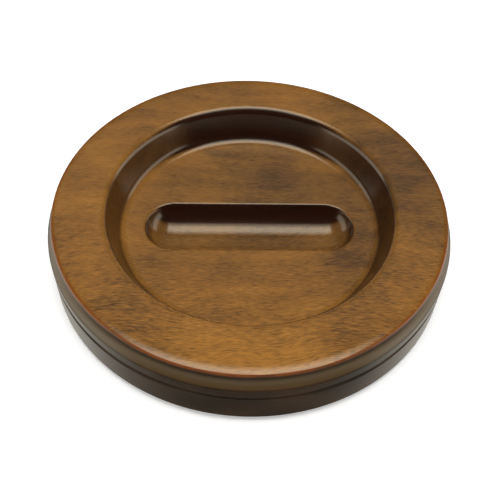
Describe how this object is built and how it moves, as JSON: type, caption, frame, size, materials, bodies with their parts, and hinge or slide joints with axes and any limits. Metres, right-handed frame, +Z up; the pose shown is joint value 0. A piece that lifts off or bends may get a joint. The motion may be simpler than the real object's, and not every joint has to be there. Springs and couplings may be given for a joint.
{
  "type": "caster cup",
  "caption": "Round turned hardwood caster cup with a dished recess, an oblong round-bottomed wheel slot, a moulded edge and a felt underside.",
  "frame": {"origin": "centre of the felt's underside, on the surface that the cup stands on", "axes": "+Z up through the middle of the cup, out of its recess; +X along the wheel slot"},
  "size_m": [0.15, 0.15, 0.0262],
  "materials": {
    "lacquered_wood": "walnut-brown stain under semi-gloss clear lacquer",
    "adhesive": "translucent pressure-sensitive film",
    "felt": "dense dark brown wool felt"
  },
  "bodies": {
    "root": {"cup_body": "lacquered_wood", "adhesive_film": "adhesive", "felt_pad": "felt"}
  },
  "joints": []
}
